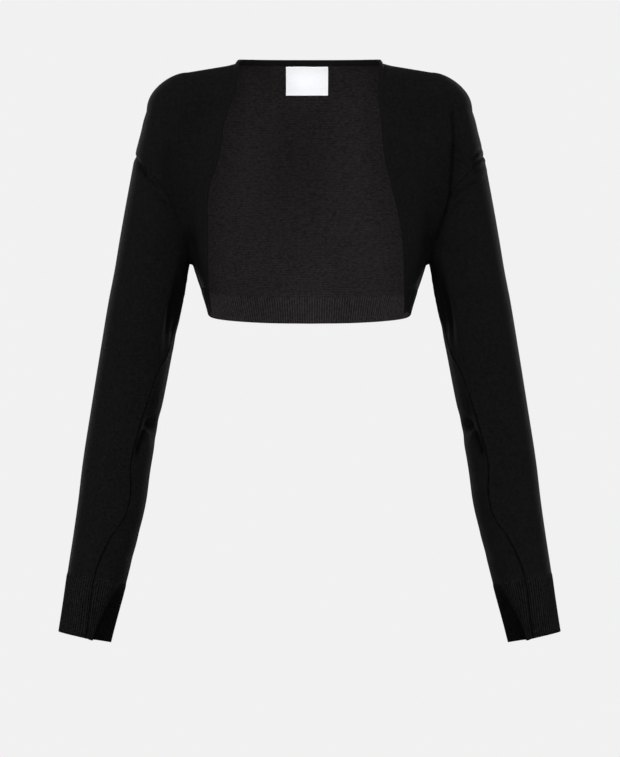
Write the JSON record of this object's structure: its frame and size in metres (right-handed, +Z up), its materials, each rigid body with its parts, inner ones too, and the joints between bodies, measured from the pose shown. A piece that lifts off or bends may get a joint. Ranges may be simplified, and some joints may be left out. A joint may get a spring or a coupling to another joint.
{
  "type": "cardigan",
  "caption": "Cropped, open-front fine-knit cardigan with long sleeves, ribbed hem and cuffs and a narrow edge band, filled out as worn and hollow inside.",
  "frame": {"origin": "between the two high shoulder points, where the wearer's shoulders hold the cardigan", "axes": "+Z up along the wearer, the open front towards -Y, +X towards the wearer's left"},
  "size_m": [0.6012, 0.1852, 0.6995],
  "materials": {
    "black_fine_knit": "matt fine-gauge plain knit",
    "black_rib_knit": "matt one-by-one rib knit",
    "black_edge_band": "matt close knit, narrow band",
    "white_woven_label": "smooth woven, blank"
  },
  "bodies": {
    "root": {"back": "black_fine_knit", "front_left": "black_fine_knit", "front_right": "black_fine_knit", "sleeve_left": "black_fine_knit", "sleeve_right": "black_fine_knit", "cuff_left": "black_rib_knit", "cuff_right": "black_rib_knit", "hem_rib": "black_rib_knit", "edge_band": "black_edge_band", "label": "white_woven_label"}
  },
  "joints": []
}
